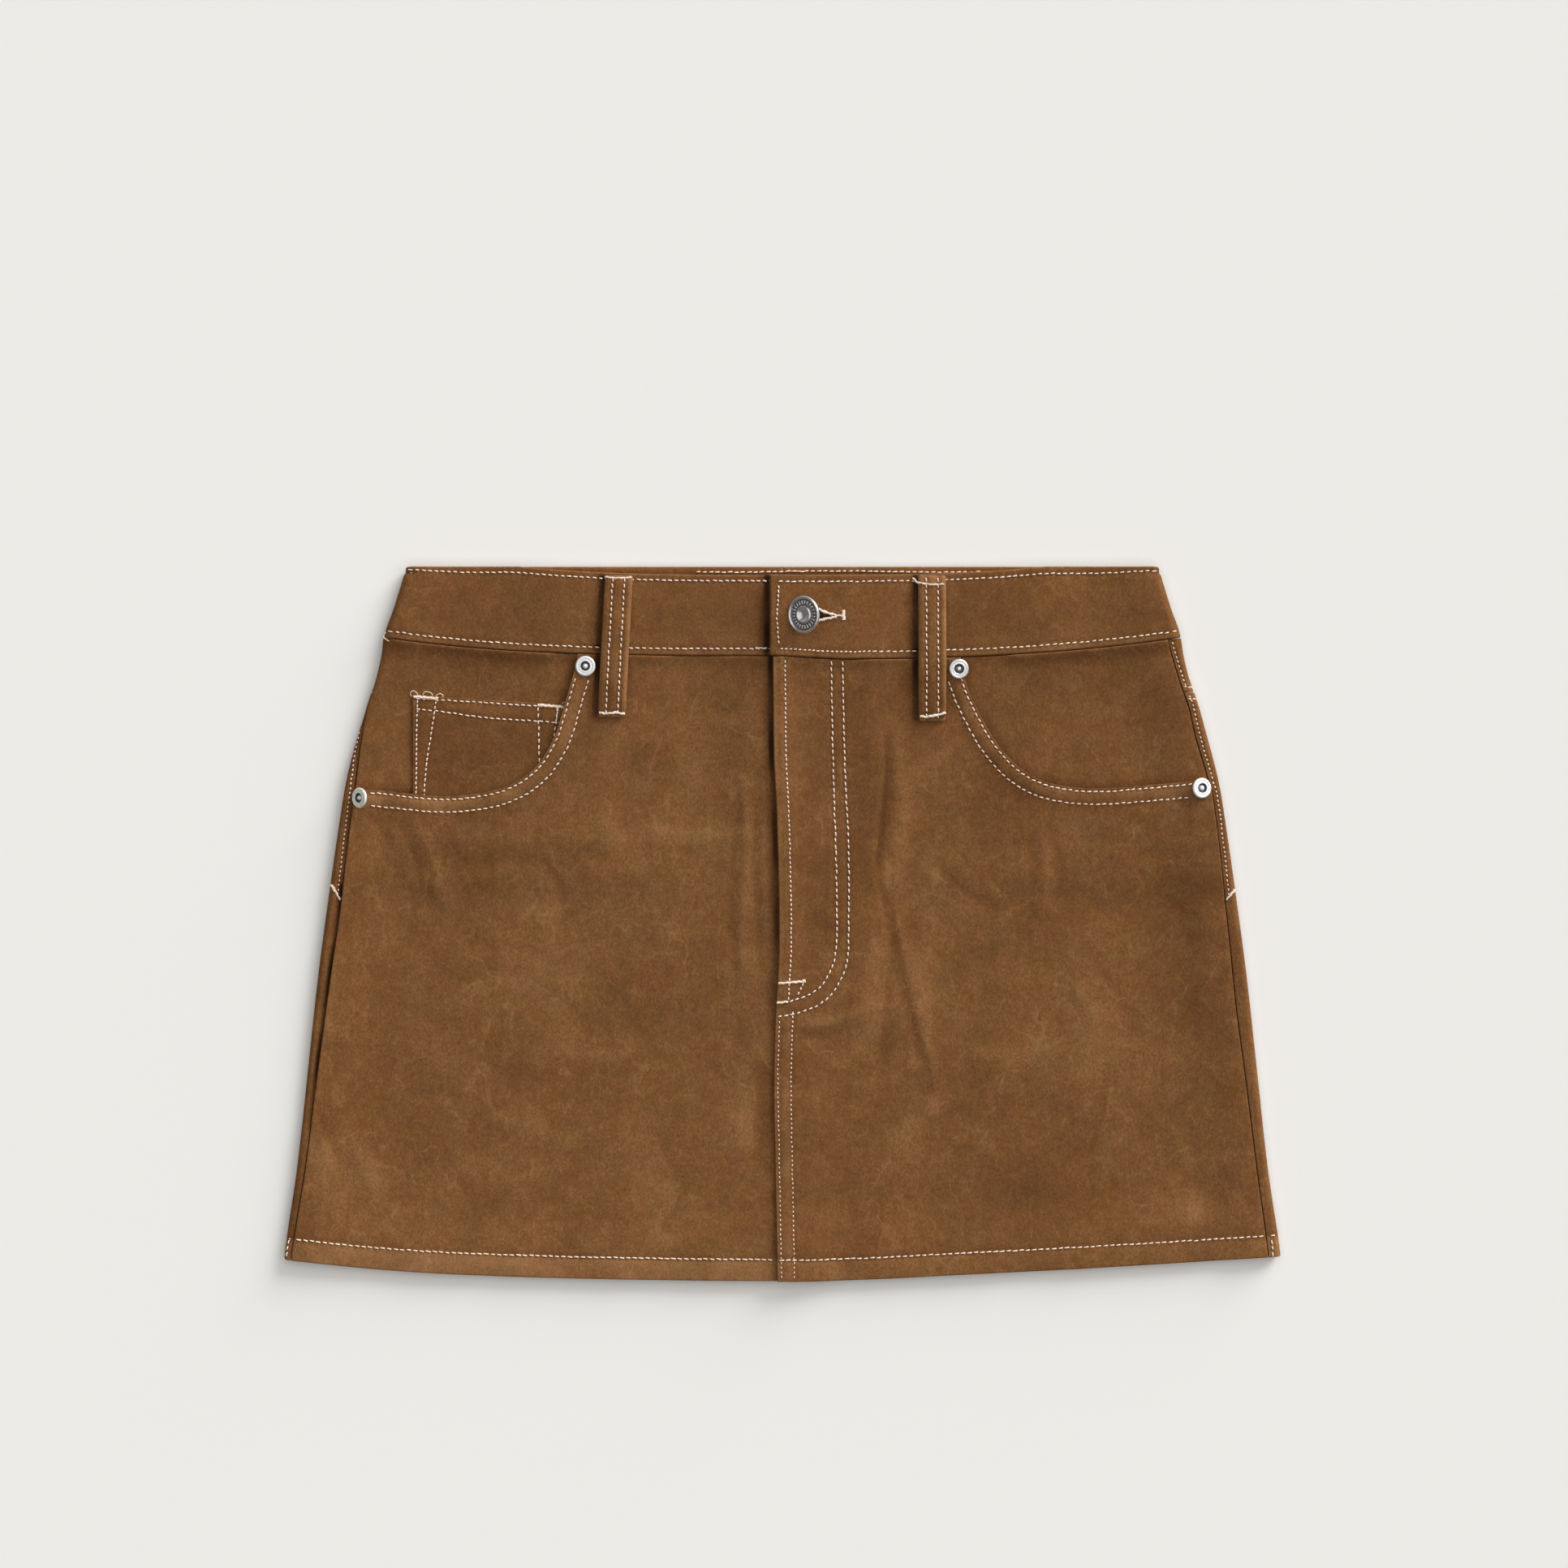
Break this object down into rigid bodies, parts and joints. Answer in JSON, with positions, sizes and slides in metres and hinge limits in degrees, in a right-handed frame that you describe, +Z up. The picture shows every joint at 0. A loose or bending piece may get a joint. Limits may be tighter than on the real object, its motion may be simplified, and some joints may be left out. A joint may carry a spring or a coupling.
{
  "type": "suede mini skirt",
  "caption": "A-line suede mini skirt with waistband, fly, button, belt loops and curved front pockets, lying flat.",
  "frame": {"origin": "middle of the skirt's outline, on the surface it lies on", "axes": "+X to the wearer's left (right in the picture), +Y from the hem to the waist, +Z up from the surface"},
  "size_m": [0.4916, 0.3524, 0.0232],
  "materials": {
    "suede": "brushed suede nap",
    "zip_tape": "woven",
    "nickel": "satin nickel"
  },
  "bodies": {
    "root": {"front_panel_right": "suede", "front_panel_left": "suede", "pocket_facing_right": "suede", "pocket_facing_left": "suede", "coin_pocket": "suede", "back_panel_right": "suede", "back_panel_left": "suede", "back_yoke_right": "suede", "back_yoke_left": "suede", "waistband_right": "suede", "waistband_left": "suede", "fly_shield": "suede", "belt_loop_front_right": "suede", "belt_loop_front_left": "suede", "belt_loop_back_right": "suede", "belt_loop_back_centre": "suede", "belt_loop_back_left": "suede", "fly_zip": "zip_tape", "waist_button": "nickel", "rivet_right_top": "nickel", "rivet_left_top": "nickel", "rivet_right_corner": "nickel", "rivet_left_corner": "nickel"}
  },
  "joints": []
}
